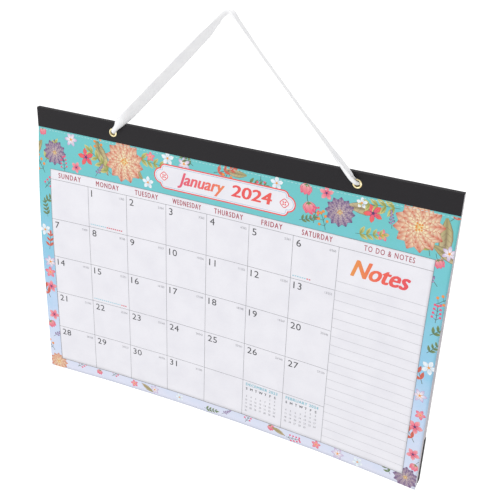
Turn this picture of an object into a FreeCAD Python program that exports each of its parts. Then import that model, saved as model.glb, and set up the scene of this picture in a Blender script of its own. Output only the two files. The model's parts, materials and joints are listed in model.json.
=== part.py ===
"""A wall calendar in millimetres: a tear-off page pad on a stiff board, bound under a folded strip.

The calendar hangs upright in the XZ plane and faces -Y, with +Z up. The origin is the axis of the
nail that carries the ribbon, so the ribbon's two legs slope down from it to the eyelets in the strip.
From front to back lie the strip, the front sheet, the page block, the backing board and the strip again.
"""
import FreeCAD, Part
import math
import os
import Sketcher

os.makedirs("parts", exist_ok=True)

# Driving sizes

SIZES = [
    ("sheet_width", 432, "page pad, side to side"),
    ("sheet_height", 305, "page pad, top to bottom"),
    ("sheet_thick", 0.2, "the loose front sheet"),
    ("block_thick", 2.2, "all the sheets behind the front one"),
    ("board_thick", 1.3, "stiff backing board"),
    ("tucked_round", 3.5, "rounding of the pad's two corners that sit in the pockets"),
    ("curl_depth", 9.2, "how far the front sheet's sides stand off where they have curled fully"),
    ("curl_drop", 145, "from the strip's edge down to the full curl"),
    ("strip_height", 20, "binding strip, each leg"),
    ("strip_thick", 0.45, "binding strip's sheet"),
    ("eyelet_pitch", 250, "eyelet to eyelet"),
    ("eyelet_drop", 10.5, "strip's folded edge to the eyelets"),
    ("eyelet_bore", 5.6, "clear hole of an eyelet"),
    ("eyelet_wall", 0.35, "an eyelet's barrel"),
    ("flange_size", 8.7, "an eyelet's front flange"),
    ("flange_thick", 0.6, "front flange"),
    ("rim_size", 8.8, "an eyelet's rolled rear rim"),
    ("rim_thick", 0.7, "rolled rear rim"),
    ("edge_round", 0.25, "rounding of flange and rim"),
    ("ribbon_size", 3.6, "the ribbon gathered to a bundle"),
    ("ribbon_bend", 3.1, "the ribbon's bend in front of an eyelet"),
    ("nail_size", 3, "the nail that the ribbon goes round"),
    ("loop_rise", 116, "strip's folded edge up to the nail"),
    ("knot_size", 10, "stopper knot, across"),
    ("knot_depth", 5.6, "stopper knot, front to back"),
    ("knot_round", 1.6, "rounding of a knot"),
    ("tail_width", 8, "ribbon's cut end"),
    ("tail_thick", 0.8, "ribbon's cut end, lightly folded"),
    ("tail_length", 24, "knot's middle to the cut end"),
    ("corner_leg", 55, "corner pocket along each edge"),
    ("corner_thick", 0.5, "corner pocket's sheet"),
    ("print_thick", 0.3, "printed ink, thickened so that it is a solid"),
    ("border_side", 14.4, "printed border beside the grid"),
    ("border_foot", 13, "printed border below the grid"),
    ("border_head", 42, "printed border from the strip's edge to the grid"),
    ("line_width", 0.45, "grid lines"),
    ("rule_width", 0.3, "writing lines"),
    ("header_height", 10.8, "row of weekday names"),
    ("notes_width", 87, "notes column"),
    ("rule_drop", 34, "header row to the first writing line"),
    ("rule_pitch", 9.8, "one writing line to the next"),
    ("plaque_drop", 23.6, "strip's edge to the middle of the title plaque"),
    ("plaque_left", 4.5, "middle of the title plaque, to the left of the pad's middle"),
    ("plaque_height", 25.6, "title plaque"),
    ("plaque_middle", 124, "straight part of the title plaque"),
    ("plaque_shoulder", 5.5, "radius of the small scallops"),
    ("plaque_cap", 8.2, "radius of the end scallops"),
    ("plaque_cap_reach", 4.3, "straight part's end to the middle of an end scallop"),
    ("plaque_neck", 11.5, "height of the plaque between its scallops"),
    ("plaque_line", 1.2, "plaque's coloured outline"),
]
DAY_COLUMNS = 7
WEEK_ROWS = 5
CURL_STEPS = 6

doc = FreeCAD.newDocument("wall_calendar")
sheet = doc.addObject("Spreadsheet::Sheet", "Sizes")
for row, (word, value, meaning) in enumerate(SIZES, start=1):
    sheet.set(f"A{row}", word)
    sheet.set(f"B{row}", str(value))
    sheet.set(f"C{row}", meaning)
    sheet.setAlias(f"B{row}", word)
doc.recompute()


def formula(text):
    """The text with each driving size's word turned into its cell's name."""
    for word, _, _ in sorted(SIZES, key=lambda size: -len(size[0])):
        text = text.replace(f"<{word}>", f"Sizes.{word}")
    return text


def number(text):
    """What a formula comes to now."""
    return float(sheet.evalExpression(formula(text)))


# Places that several pieces share, from front to back and from the nail down

FLANGE_BACK = "(<ribbon_bend> + <flange_thick>)"
SHEET_FRONT = f"({FLANGE_BACK} + <strip_thick>)"
BLOCK_FRONT = f"({SHEET_FRONT} + <sheet_thick>)"
BOARD_FRONT = f"({BLOCK_FRONT} + <block_thick>)"
BOARD_BACK = f"({BOARD_FRONT} + <board_thick>)"
STRIP_BACK = f"({BOARD_BACK} + <strip_thick>)"
RIM_BACK = f"({STRIP_BACK} + <rim_thick>)"
PAD_DEPTH = "(<block_thick> + <board_thick>)"

PAD_TOP = "(-<loop_rise> - <strip_thick>)"
PAD_FOOT = f"({PAD_TOP} - <sheet_height>)"
STRIP_EDGE = "(-<loop_rise> - <strip_height>)"
EYELET_LEVEL = "(-<loop_rise> - <eyelet_drop>)"
EYELET_HOLE = "(<eyelet_bore> + 2 * <eyelet_wall>)"

GRID_WIDTH = "(<sheet_width> - 2 * <border_side>)"
GRID_TOP = f"({STRIP_EDGE} - <border_head>)"
GRID_FOOT = f"({PAD_FOOT} + <border_foot>)"
HEADER_FOOT = f"({GRID_TOP} - <header_height>)"
DAYS_WIDTH = f"({GRID_WIDTH} - <notes_width>)"
GRID_LEFT = f"(-{GRID_WIDTH} / 2)"
NOTES_LEFT = f"({GRID_LEFT} + {DAYS_WIDTH})"
PLAQUE_LEVEL = f"({STRIP_EDGE} - <plaque_drop>)"

# The printed layer's cutters reach past the sheet's full curl
CUTTER_FRONT = f"({SHEET_FRONT} - <curl_depth> - 2 * <print_thick>)"
CUTTER_DEPTH = "(<curl_depth> + 4 * <print_thick>)"


# Small steps that every sub-part uses

def bind(thing, **formulas):
    """Binds properties to formulas. A double underscore in a name stands for a dot."""
    for name, text in formulas.items():
        thing.setExpression(name.replace("__", "."), formula(text))


def place(thing, x="0", y="0", z="0"):
    """Binds the place of an object's own origin."""
    bind(thing, Placement__Base__x=x, Placement__Base__y=y, Placement__Base__z=z)


def new_body(label):
    body = doc.addObject("PartDesign::Body", label)
    body.Label = label
    return body


def new_sketch(body, name, role, offset="0"):
    """A sketch on one of the body's own origin planes, shifted along the plane's normal."""
    sketch = body.newObject("Sketcher::SketchObject", name)
    plane = next(item for item in body.Origin.OriginFeatures if item.Role == role)
    sketch.AttachmentSupport = [(plane, "")]
    sketch.MapMode = "FlatFace"
    bind(sketch, AttachmentOffset__Base__z=offset)
    return sketch


def pin(sketch, direction, geometry, point, text):
    """Fixes one coordinate of a sketch point by a formula."""
    value = number(text)
    if abs(value) < 1e-9:
        axis = -2 if direction == "DistanceX" else -1
        sketch.addConstraint(Sketcher.Constraint("PointOnObject", geometry, point, axis))
        return
    ends = (-1, 1, geometry, point) if value > 0 else (geometry, point, -1, 1)
    index = sketch.addConstraint(Sketcher.Constraint(direction, *ends, abs(value)))
    sketch.setExpression(f"Constraints[{index}]", formula(text if value > 0 else f"-{text}"))


def outline(sketch, points):
    """A closed outline of straight edges through points, each a pair of formulas."""
    spots = [FreeCAD.Vector(number(x), number(y), 0) for x, y in points]
    count = len(points)
    first = sketch.addGeometry(Part.LineSegment(spots[0], spots[1]), False)
    for index in range(1, count):
        sketch.addGeometry(Part.LineSegment(spots[index], spots[(index + 1) % count]), False)
    for index in range(count):
        following = first + (index + 1) % count
        sketch.addConstraint(Sketcher.Constraint("Coincident", first + index, 2, following, 1))
    for index, (x, y) in enumerate(points):
        pin(sketch, "DistanceX", first + index, 1, x)
        pin(sketch, "DistanceY", first + index, 1, y)


def circle(sketch, x, y, diameter):
    """A circle by the formulas of its middle and its diameter."""
    middle = FreeCAD.Vector(number(x), number(y), 0)
    index = sketch.addGeometry(Part.Circle(middle, FreeCAD.Vector(0, 0, 1), number(diameter) / 2), False)
    pin(sketch, "DistanceX", index, 3, x)
    pin(sketch, "DistanceY", index, 3, y)
    size = sketch.addConstraint(Sketcher.Constraint("Diameter", index, number(diameter)))
    sketch.setExpression(f"Constraints[{size}]", formula(diameter))


def pad(body, sketch, name, length, midplane=False, backwards=False):
    feature = body.newObject("PartDesign::Pad", name)
    feature.Profile = sketch
    bind(feature, Length=length)
    feature.Midplane = midplane
    feature.Reversed = backwards
    return feature


def round_edges(body, base, name, radius, chosen):
    """Fillets the edges of a feature for which chosen(edge) is true."""
    doc.recompute()
    names = [f"Edge{index}" for index, edge in enumerate(base.Shape.Edges, start=1) if chosen(edge)]
    feature = body.newObject("PartDesign::Fillet", name)
    feature.Base = (base, names)
    bind(feature, Radius=radius)
    return feature


def eyelet_holes(body, prefix):
    """Two holes through everything, one for each eyelet's barrel."""
    doc.recompute()
    sketch = new_sketch(body, f"{prefix}_hole_sketch", "XZ_Plane")
    circle(sketch, "<eyelet_pitch> / 2", EYELET_LEVEL, EYELET_HOLE)
    hole = body.newObject("PartDesign::Pocket", f"{prefix}_hole")
    hole.Profile = sketch
    hole.Type = "ThroughAll"
    hole.Midplane = True
    doc.recompute()
    plane = next(item for item in body.Origin.OriginFeatures if item.Role == "YZ_Plane")
    mirrored = body.newObject("PartDesign::Mirrored", f"{prefix}_hole_mirrored")
    mirrored.Originals = [hole]
    mirrored.MirrorPlane = (plane, [""])
    body.Tip = mirrored


def box(name, x, y, z, length, width, height):
    solid = doc.addObject("Part::Box", name)
    bind(solid, Length=length, Width=width, Height=height)
    place(solid, x, y, z)
    return solid


def cylinder_along_y(name, x, y, z, radius, height):
    solid = doc.addObject("Part::Cylinder", name)
    solid.Placement = FreeCAD.Placement(FreeCAD.Vector(), FreeCAD.Rotation(FreeCAD.Vector(1, 0, 0), -90))
    bind(solid, Radius=radius, Height=height)
    place(solid, x, y, z)
    return solid


def fuse(name, solids):
    joined = doc.addObject("Part::MultiFuse", name)
    joined.Shapes = solids
    return joined


def cut(name, base, tool):
    left = doc.addObject("Part::Cut", name)
    left.Base = base
    left.Tool = tool
    return left


def common(name, solids):
    shared = doc.addObject("Part::MultiCommon", name)
    shared.Shapes = solids
    return shared


nodes = []


def finish(thing, label):
    """Names a sub-part and puts it on the list of pieces to write."""
    thing.Label = label
    nodes.append(thing)


# Backing board and page block: flat sheets with eyelet holes and two rounded lower corners

def flat_pad(label, front, thickness):
    body = new_body(label)
    sketch = new_sketch(body, f"{label}_sketch", "XZ_Plane", f"-{front}")
    half = "<sheet_width> / 2"
    outline(sketch, [(f"-{half}", PAD_FOOT), (half, PAD_FOOT), (half, PAD_TOP), (f"-{half}", PAD_TOP)])
    slab = pad(body, sketch, f"{label}_pad", thickness, backwards=True)

    def lower_corner(edge):
        low = abs(edge.BoundBox.ZMax - number(PAD_FOOT)) < 1e-6
        return low and abs(edge.BoundBox.YLength - number(thickness)) < 1e-6

    round_edges(body, slab, f"{label}_corners", "<tucked_round>", lower_corner)
    eyelet_holes(body, label)
    finish(body, label)


flat_pad("backing_board", BOARD_FRONT, "<board_thick>")
flat_pad("page_block", BLOCK_FRONT, "<block_thick>")


# Front sheet: flat where the strip holds it, below that its two sides curl forward more and more

CURL_LEVELS = [(STRIP_EDGE, None)]
for step in range(1, CURL_STEPS + 1):
    part_way = f"({step} / {CURL_STEPS})"
    CURL_LEVELS.append((f"({STRIP_EDGE} - <curl_drop> * {part_way})",
                        f"(<curl_depth> * (1 - (1 - {part_way}) ^ 2))"))
CURL_LEVELS.append((PAD_FOOT, "<curl_depth>"))


def curl_section(body, name, level, back, thickness, curl):
    """One level's outline: two like arcs, a thickness apart, whose ends stand curl in front of their middle."""
    sketch = new_sketch(body, name, "XY_Plane", level)
    half = "<sheet_width> / 2"
    if curl is None:
        front = f"({back} - {thickness})"
        outline(sketch, [(f"-{half}", back), (half, back), (half, front), (f"-{half}", front)])
        return sketch
    reach = number(half)
    rows = [f"({back} - {curl})", f"({back} - {thickness} - {curl})"]
    for row in rows:
        end = number(row)
        left = FreeCAD.Vector(-reach, end, 0)
        middle = FreeCAD.Vector(0, end + number(curl), 0)
        right = FreeCAD.Vector(reach, end, 0)
        sketch.addGeometry(Part.Arc(left, middle, right), False)
    sides = [FreeCAD.Vector(side * reach, number(row), 0) for side in (-1, 1) for row in rows]
    sketch.addGeometry(Part.LineSegment(sides[0], sides[1]), False)
    sketch.addGeometry(Part.LineSegment(sides[2], sides[3]), False)
    radius = f"(({half}) ^ 2 + {curl} ^ 2) / (2 * {curl})"
    for arc in (0, 1):
        starts_left = sketch.getPoint(arc, 1).x < 0
        left_end, right_end = (1, 2) if starts_left else (2, 1)
        sketch.addConstraint(Sketcher.Constraint("Coincident", arc, left_end, 2, arc + 1))
        sketch.addConstraint(Sketcher.Constraint("Coincident", arc, right_end, 3, arc + 1))
        pin(sketch, "DistanceX", arc, left_end, f"-{half}")
        pin(sketch, "DistanceX", arc, right_end, half)
        pin(sketch, "DistanceY", arc, left_end, rows[arc])
        pin(sketch, "DistanceY", arc, right_end, rows[arc])
        size = sketch.addConstraint(Sketcher.Constraint("Radius", arc, number(radius)))
        sketch.setExpression(f"Constraints[{size}]", formula(radius))
    return sketch


def curled_loft(body, prefix, back, thickness):
    """The curled part of a sheet whose middle lies at back."""
    sections = [curl_section(body, f"{prefix}_level_{index}", level, back, thickness, curl)
                for index, (level, curl) in enumerate(CURL_LEVELS)]
    loft = body.newObject("PartDesign::AdditiveLoft", f"{prefix}_curl")
    loft.Profile = sections[0]
    loft.Sections = sections[1:]
    loft.Ruled = True


front_sheet = new_body("front_sheet")
curled_loft(front_sheet, "front_sheet", BLOCK_FRONT, "<sheet_thick>")
held = new_sketch(front_sheet, "front_sheet_held_sketch", "XZ_Plane", f"-{SHEET_FRONT}")
half_width = "<sheet_width> / 2"
outline(held, [(f"-{half_width}", STRIP_EDGE), (half_width, STRIP_EDGE),
               (half_width, PAD_TOP), (f"-{half_width}", PAD_TOP)])
pad(front_sheet, held, "front_sheet_held", "<sheet_thick>", backwards=True)
eyelet_holes(front_sheet, "front_sheet")
finish(front_sheet, "front_sheet")


# Print: one curled layer of ink on the front sheet, cut to the border, the plaque and the lines

ink = new_body("ink_layer")
curled_loft(ink, "ink", SHEET_FRONT, "<print_thick>")


def plaque_shape(name, line):
    """The title plaque's outline, line inside its outer edge: a bar with scalloped ends."""
    half = "(<plaque_middle> / 2)"
    height = f"(<plaque_height> - 2 * {line})"
    solids = [box(f"{name}_bar", f"-<plaque_left> - {half}", CUTTER_FRONT, f"{PLAQUE_LEVEL} - {height} / 2",
                  f"2 * {half}", CUTTER_DEPTH, height)]
    neck = f"(<plaque_neck> - 2 * {line})"
    cap_place = f"({half} + <plaque_cap_reach>)"
    solids.append(box(f"{name}_neck", f"-<plaque_left> - {cap_place}", CUTTER_FRONT, f"{PLAQUE_LEVEL} - {neck} / 2",
                      f"2 * {cap_place}", CUTTER_DEPTH, neck))
    for side, sign in (("left", "-"), ("right", "+")):
        solids.append(cylinder_along_y(f"{name}_{side}_cap", f"-<plaque_left> {sign} {cap_place}",
                                       CUTTER_FRONT, PLAQUE_LEVEL,
                                       f"<plaque_cap> - {line}", CUTTER_DEPTH))
        for end, turn in (("upper", "+"), ("lower", "-")):
            level = f"{PLAQUE_LEVEL} {turn} (<plaque_height> / 2 - <plaque_shoulder>)"
            solids.append(cylinder_along_y(f"{name}_{side}_{end}", f"-<plaque_left> {sign} {half}",
                                           CUTTER_FRONT, level,
                                           f"<plaque_shoulder> - {line}", CUTTER_DEPTH))
    return fuse(name, solids)


plaque_outer = plaque_shape("plaque_outer", "0")
plaque_inner = plaque_shape("plaque_inner", "<plaque_line>")
finish(common("plaque_print", [ink, cut("plaque_band", plaque_outer, plaque_inner)]), "plaque_print")

border_outer = box("border_outer", f"-{half_width}", CUTTER_FRONT, PAD_FOOT,
                   "<sheet_width>", CUTTER_DEPTH, f"{STRIP_EDGE} - {PAD_FOOT}")
border_inner = box("border_inner", GRID_LEFT, CUTTER_FRONT, GRID_FOOT,
                   GRID_WIDTH, CUTTER_DEPTH, f"{GRID_TOP} - {GRID_FOOT}")
border_holes = fuse("border_holes", [border_inner, plaque_outer])
finish(common("border_print", [ink, cut("border_band", border_outer, border_holes)]), "border_print")


def upright_line(name, x, foot, top, width):
    return box(name, f"{x} - {width} / 2", CUTTER_FRONT, foot, width, CUTTER_DEPTH, f"{top} - {foot}")


def level_line(name, z, left, length, width):
    return box(name, left, CUTTER_FRONT, f"{z} - {width} / 2", length, CUTTER_DEPTH, width)


LINE = "<line_width>"
grid_bars = []
for column in range(DAY_COLUMNS + 1):
    x = f"({GRID_LEFT} + {column} * {DAYS_WIDTH} / {DAY_COLUMNS})"
    if column == 0:
        x = f"({x} + {LINE} / 2)"
    grid_bars.append(upright_line(f"day_line_{column}", x, GRID_FOOT, GRID_TOP, LINE))
grid_bars.append(upright_line("notes_edge", f"(-{GRID_LEFT} - {LINE} / 2)", GRID_FOOT, GRID_TOP, LINE))
grid_bars.append(level_line("grid_top_line", f"({GRID_TOP} - {LINE} / 2)", GRID_LEFT, GRID_WIDTH, LINE))
grid_bars.append(level_line("grid_foot_line", f"({GRID_FOOT} + {LINE} / 2)", GRID_LEFT, GRID_WIDTH, LINE))
grid_bars.append(level_line("header_line", HEADER_FOOT, GRID_LEFT, GRID_WIDTH, LINE))
for week in range(1, WEEK_ROWS):
    level = f"({HEADER_FOOT} - {week} * ({HEADER_FOOT} - {GRID_FOOT}) / {WEEK_ROWS})"
    grid_bars.append(level_line(f"week_line_{week}", level, GRID_LEFT, DAYS_WIDTH, LINE))
writing_lines = math.floor(number(f"({HEADER_FOOT} - <rule_drop> - {GRID_FOOT}) / <rule_pitch>"))
for down in range(writing_lines):
    level = f"({HEADER_FOOT} - <rule_drop> - {down} * <rule_pitch>)"
    grid_bars.append(level_line(f"writing_line_{down}", level, NOTES_LEFT, "<notes_width>", "<rule_width>"))
finish(common("grid_print", [ink, fuse("grid_bars", grid_bars)]), "grid_print")


# Binding strip: one sheet folded over the pad's top edge, with both legs pierced for the eyelets

strip = new_body("binding_strip")
strip_sketch = new_sketch(strip, "strip_section", "YZ_Plane")
outline(strip_sketch, [
    (FLANGE_BACK, STRIP_EDGE), (SHEET_FRONT, STRIP_EDGE), (SHEET_FRONT, PAD_TOP), (BOARD_BACK, PAD_TOP),
    (BOARD_BACK, STRIP_EDGE), (STRIP_BACK, STRIP_EDGE), (STRIP_BACK, "-<loop_rise>"),
    (FLANGE_BACK, "-<loop_rise>"),
])
pad(strip, strip_sketch, "strip_pad", "<sheet_width>", midplane=True)
eyelet_holes(strip, "strip")
finish(strip, "binding_strip")


# Eyelets: a front flange, a barrel through the whole pad and a rolled rear rim, turned in one piece

def eyelet(label, x):
    body = new_body(label)
    sketch = new_sketch(body, f"{label}_section", "XY_Plane")
    bore = "<eyelet_bore> / 2"
    barrel = f"({bore} + <eyelet_wall>)"
    depth = f"({RIM_BACK} - <ribbon_bend>)"
    outline(sketch, [
        (bore, "0"), ("<flange_size> / 2", "0"), ("<flange_size> / 2", "<flange_thick>"),
        (barrel, "<flange_thick>"), (barrel, f"({depth} - <rim_thick>)"),
        ("<rim_size> / 2", f"({depth} - <rim_thick>)"), ("<rim_size> / 2", depth), (bore, depth),
    ])
    turned = body.newObject("PartDesign::Revolution", f"{label}_turned")
    turned.Profile = sketch
    turned.ReferenceAxis = (sketch, ["V_Axis"])
    turned.Angle = 360

    def outer_edge(edge):
        level = edge.BoundBox.YMax
        on_face = min(abs(level), abs(level - number(depth))) < 1e-6
        return edge.BoundBox.YLength < 1e-6 and on_face

    round_edges(body, turned, f"{label}_rounded", "<edge_round>", outer_edge)
    place(body, x, "<ribbon_bend>", EYELET_LEVEL)
    finish(body, label)


eyelet("eyelet_left", "-<eyelet_pitch> / 2")
eyelet("eyelet_right", "<eyelet_pitch> / 2")


# Corner pockets: a folded triangle over each lower corner of block and board, under the front sheet

def corner_pocket(label, x, y, turn):
    body = new_body(label)
    reach = "(<corner_leg> + <corner_thick>)"
    outer = new_sketch(body, f"{label}_outer", "XZ_Plane")
    outline(outer, [("0", "0"), (reach, "0"), ("0", reach)])
    solid = pad(body, outer, f"{label}_pad", f"{PAD_DEPTH} + 2 * <corner_thick>", backwards=True)

    def outer_corner(edge):
        box_of = edge.BoundBox
        return box_of.XMax < 1e-6 and box_of.ZMax < 1e-6

    rounded = round_edges(body, solid, f"{label}_outer_round", "<tucked_round> + <corner_thick>", outer_corner)
    doc.recompute()
    before = rounded.Shape.Volume
    inner = new_sketch(body, f"{label}_inner", "XZ_Plane", "-<corner_thick>")
    wall = "<corner_thick>"
    start = f"({wall} + <tucked_round>)"
    far = f"({reach} + 5)"
    spots = [("arc start", wall, start), ("arc end", start, wall), ("foot", far, wall),
             ("far", far, far), ("side", wall, far)]
    points = [FreeCAD.Vector(number(x_text), number(z_text), 0) for _, x_text, z_text in spots]
    centre = FreeCAD.Vector(number(start), number(start), 0)
    round_part = Part.ArcOfCircle(Part.Circle(centre, FreeCAD.Vector(0, 0, 1), number("<tucked_round>")),
                                  math.pi, 1.5 * math.pi)
    inner.addGeometry(round_part, False)
    for index in range(1, 5):
        inner.addGeometry(Part.LineSegment(points[index], points[(index + 1) % 5]), False)
    for index in range(5):
        inner.addConstraint(Sketcher.Constraint("Coincident", index, 2, (index + 1) % 5, 1))
        pin(inner, "DistanceX", index, 1, spots[index][1])
        pin(inner, "DistanceY", index, 1, spots[index][2])
    size = inner.addConstraint(Sketcher.Constraint("Radius", 0, number("<tucked_round>")))
    inner.setExpression(f"Constraints[{size}]", formula("<tucked_round>"))
    pocket = body.newObject("PartDesign::Pocket", f"{label}_pocket")
    pocket.Profile = inner
    bind(pocket, Length=PAD_DEPTH)
    doc.recompute()
    if pocket.Shape.Volume > 0.6 * before:
        raise RuntimeError(f"{label}: the pocket did not open")
    body.Placement = FreeCAD.Placement(FreeCAD.Vector(), FreeCAD.Rotation(FreeCAD.Vector(0, 0, 1), turn))
    place(body, x, y, f"{PAD_FOOT} - <corner_thick>")
    finish(body, label)


corner_pocket("corner_left", f"-({half_width} + <corner_thick>)", f"{BLOCK_FRONT} - <corner_thick>", 0)
corner_pocket("corner_right", f"{half_width} + <corner_thick>", f"{BOARD_BACK} + <corner_thick>", 180)


# Ribbon: gathered to a bundle from one knot, through an eyelet, round the nail and back through the other

def ribbon_path():
    """The ribbon's middle line as straight runs joined by tangent arcs, and the arcs' radii."""
    pitch = number("<eyelet_pitch> / 2")
    level = number(EYELET_LEVEL)
    bend = number("<ribbon_bend>")
    rear = number(RIM_BACK)
    round_nail = number("(<nail_size> + <ribbon_size>) / 2")
    corner = FreeCAD.Vector(pitch, 0, level)
    away = corner.Length
    # The leg touches the circle round the nail where that circle's radius is square to it
    slope = math.atan2(-corner.z, corner.x) + math.asin(round_nail / away)
    along = FreeCAD.Vector(math.cos(slope), 0, -math.sin(slope))
    touch = FreeCAD.Vector(math.sin(slope), 0, math.cos(slope)) * round_nail
    into_bore = FreeCAD.Vector(0, 1, 0)
    leg_end = corner - along * bend
    bore_start = corner + into_bore * bend
    hub = corner + (into_bore - along) * bend
    bend_middle = hub + (along - into_bore).normalize() * bend
    bore_end = FreeCAD.Vector(pitch, rear, level)

    def mirrored(spot):
        return FreeCAD.Vector(-spot.x, spot.y, spot.z)

    top = FreeCAD.Vector(0, 0, round_nail)
    edges = [
        Part.LineSegment(mirrored(bore_end), mirrored(bore_start)),
        Part.Arc(mirrored(bore_start), mirrored(bend_middle), mirrored(leg_end)),
        Part.LineSegment(mirrored(leg_end), mirrored(touch)),
        Part.Arc(mirrored(touch), top, touch),
        Part.LineSegment(touch, leg_end),
        Part.Arc(leg_end, bend_middle, bore_start),
        Part.LineSegment(bore_start, bore_end),
    ]
    print("ribbon radii: bend", bend, "nail", round_nail)
    return Part.Wire([edge.toShape() for edge in edges])


def ribbon_tube():
    """The bundle swept along the ribbon's path, tested against its section times its length."""
    path = ribbon_path()
    radius = number("<ribbon_size> / 2")
    start = path.Vertexes[0].Point
    ring = Part.Wire([Part.makeCircle(radius, start, FreeCAD.Vector(0, -1, 0))])
    tube = path.makePipeShell([ring], True, False)
    if abs(tube.Volume / (math.pi * radius ** 2 * path.Length) - 1) > 0.01:
        raise RuntimeError("the ribbon's volume is not its section times its length")
    print("ribbon length between the knots", round(path.Length, 2))
    return tube


ribbon = doc.addObject("Part::Feature", "ribbon")
ribbon.Shape = ribbon_tube()
ribbon.Placement = FreeCAD.Placement()
finish(ribbon, "ribbon")


# Stopper knots: each sits against the rear rim of its eyelet, with the ribbon's cut end hanging from it

def stopper_knot(label, x):
    body = new_body(label)
    sketch = new_sketch(body, f"{label}_section", "XY_Plane")
    outline(sketch, [("0", "0"), ("<knot_size> / 2", "0"), ("<knot_size> / 2", "<knot_depth>"),
                     ("0", "<knot_depth>")])
    turned = body.newObject("PartDesign::Revolution", f"{label}_turned")
    turned.Profile = sketch
    turned.ReferenceAxis = (sketch, ["V_Axis"])
    turned.Angle = 360

    def rim_edge(edge):
        return edge.BoundBox.YLength < 1e-6 and edge.BoundBox.XLength > 1

    round_edges(body, turned, f"{label}_rounded", "<knot_round>", rim_edge)
    doc.recompute()
    tail_back = "(<knot_depth> / 2 + <tail_thick> / 2)"
    tail = new_sketch(body, f"{label}_tail_sketch", "XZ_Plane", f"-({tail_back} - <tail_thick>)")
    half = "<tail_width> / 2"
    outline(tail, [(f"-{half}", "-<tail_length>"), (half, "-<tail_length>"), (half, "0"), (f"-{half}", "0")])
    pad(body, tail, f"{label}_tail", "<tail_thick>", backwards=True)
    place(body, x, RIM_BACK, EYELET_LEVEL)
    finish(body, label)


stopper_knot("ribbon_knot_left", "-<eyelet_pitch> / 2")
stopper_knot("ribbon_knot_right", "<eyelet_pitch> / 2")


# Checks, then one file for each piece

doc.recompute()
for item in doc.Objects:
    if "Invalid" in item.State or "Error" in item.State:
        raise RuntimeError(f"{item.Label} did not build: {item.State}")
for node in nodes:
    shape = node.Shape
    if shape.isNull() or not shape.isValid() or not shape.Solids:
        raise RuntimeError(f"{node.Label} is not a valid solid")
for node in nodes:
    node.Shape.exportStep(f"parts/{node.Label}.step")
    low, high = node.Shape.BoundBox, node.Shape.BoundBox
    print(f"{node.Label:20s} solids {len(node.Shape.Solids):3d} volume {node.Shape.Volume:10.1f}",
          f"x {low.XMin:8.2f} {high.XMax:8.2f} y {low.YMin:7.2f} {high.YMax:7.2f} z {low.ZMin:8.2f} {high.ZMax:8.2f}")
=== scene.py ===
import json
import math
import random

import bmesh
import bpy
from mathutils import Matrix, Vector

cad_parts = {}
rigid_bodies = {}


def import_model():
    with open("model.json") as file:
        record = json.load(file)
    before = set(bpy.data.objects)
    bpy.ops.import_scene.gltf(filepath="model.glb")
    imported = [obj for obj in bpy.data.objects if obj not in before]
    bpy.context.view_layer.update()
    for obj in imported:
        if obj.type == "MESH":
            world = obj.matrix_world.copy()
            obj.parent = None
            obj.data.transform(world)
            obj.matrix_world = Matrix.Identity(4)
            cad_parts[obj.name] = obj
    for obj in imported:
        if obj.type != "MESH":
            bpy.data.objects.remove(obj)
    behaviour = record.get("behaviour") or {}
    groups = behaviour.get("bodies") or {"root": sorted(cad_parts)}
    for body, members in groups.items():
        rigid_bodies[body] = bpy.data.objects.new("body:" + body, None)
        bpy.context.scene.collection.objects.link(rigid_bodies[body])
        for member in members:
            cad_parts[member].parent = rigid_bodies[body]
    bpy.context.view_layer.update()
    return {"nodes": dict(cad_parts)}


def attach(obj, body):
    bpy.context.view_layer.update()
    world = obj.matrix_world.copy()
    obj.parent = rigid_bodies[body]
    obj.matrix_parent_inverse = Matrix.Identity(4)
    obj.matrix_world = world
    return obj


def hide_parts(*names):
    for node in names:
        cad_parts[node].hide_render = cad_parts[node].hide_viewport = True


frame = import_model()


# Camera: stands to the right of the calendar and above it, and looks down at the page.
# The lens, place and slight roll set the page's corners where the photograph has them.

mm = 0.001
collection = bpy.context.scene.collection
camera_data = bpy.data.cameras.new("camera")
camera_data.lens = 60.49
camera_data.sensor_width = 36
camera = bpy.data.objects.new("camera", camera_data)
collection.objects.link(camera)
eye = Vector((328.4, -638.7, 142.4)) * mm
aim = Vector((26.3, 4.0, -215.2)) * mm
facing = (aim - eye).to_track_quat("-Z", "Y").to_matrix().to_4x4()
camera.matrix_world = Matrix.Translation(eye) @ facing @ Matrix.Rotation(math.radians(2.34), 4, "Z")
bpy.context.scene.camera = camera


# Ribbon: white satin, 12.5 mm wide and woven with firm edges. It comes out of the left eyelet gathered,
# opens flat, turns edge-on over the nail and is folded lengthwise where it goes into the right eyelet.

RIBBON_WIDTH = 12.5 * mm
RIBBON_THICK = 0.25 * mm
ribbon_route = [
    (-125, 9, -126.5), (-125, 0, -126.5), (-109.83, 0, -110.57), (-15.2, 0, -11.18), (-1.42, 0, 3.3),
    (1.42, 0, 3.3), (15.2, 0, -11.18), (109.83, 0, -110.57), (125, 0, -126.5), (125, 9, -126.5),
]


def srgb(red, green, blue):
    """A colour as it looks on the screen, 0 to 255, as the shader wants it."""
    parts = [level / 255 for level in (red, green, blue)]
    return [part / 12.92 if part < 0.04045 else ((part + 0.055) / 1.055) ** 2.4 for part in parts] + [1]


def make_mesh(name, spots, faces):
    mesh = bpy.data.meshes.new(name)
    mesh.from_pydata(spots, [], faces)
    mesh.validate()
    mesh.update()
    return mesh


def make_object(name, mesh, *materials):
    thing = bpy.data.objects.new(name, mesh)
    collection.objects.link(thing)
    for material in materials:
        mesh.materials.append(material)
    return thing


def make_finish(name, roughness, **sockets):
    """A material and its shader, with the sockets that are the same all over set."""
    material = bpy.data.materials.new(name)
    material.use_nodes = True
    shader = material.node_tree.nodes["Principled BSDF"]
    shader.inputs["Roughness"].default_value = roughness
    for socket, value in sockets.items():
        shader.inputs[socket.replace("_", " ")].default_value = value
    return material, shader


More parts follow.
